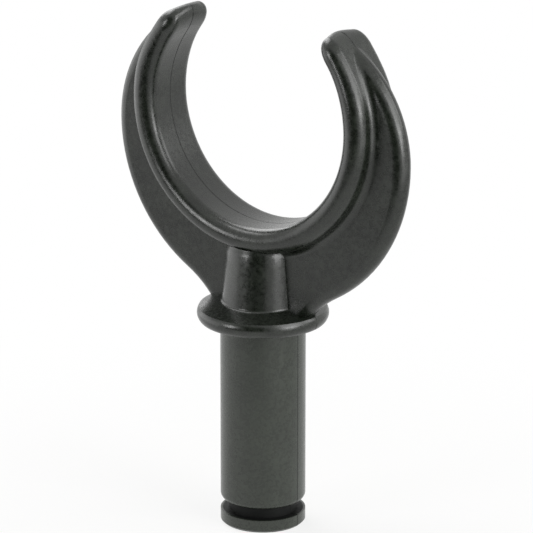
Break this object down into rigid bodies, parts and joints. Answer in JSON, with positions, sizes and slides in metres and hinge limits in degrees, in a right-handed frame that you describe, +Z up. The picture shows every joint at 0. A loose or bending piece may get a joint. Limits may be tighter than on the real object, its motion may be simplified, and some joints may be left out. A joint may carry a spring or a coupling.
{
  "type": "rowlock",
  "caption": "Moulded U-shaped rowlock: rounded horns hold an oar over a collared pin that turns in a boat's socket.",
  "frame": {"origin": "on the pin's axis, in the plane of the collar's underside, which rests on the socket", "axes": "+Z up along the pin's axis, X from horn to horn, Y the way the oar points through the opening"},
  "size_m": [0.077, 0.0294, 0.1161],
  "materials": {
    "nylon": "satin black moulded nylon"
  },
  "bodies": {
    "root": {"rowlock": "nylon"}
  },
  "joints": []
}
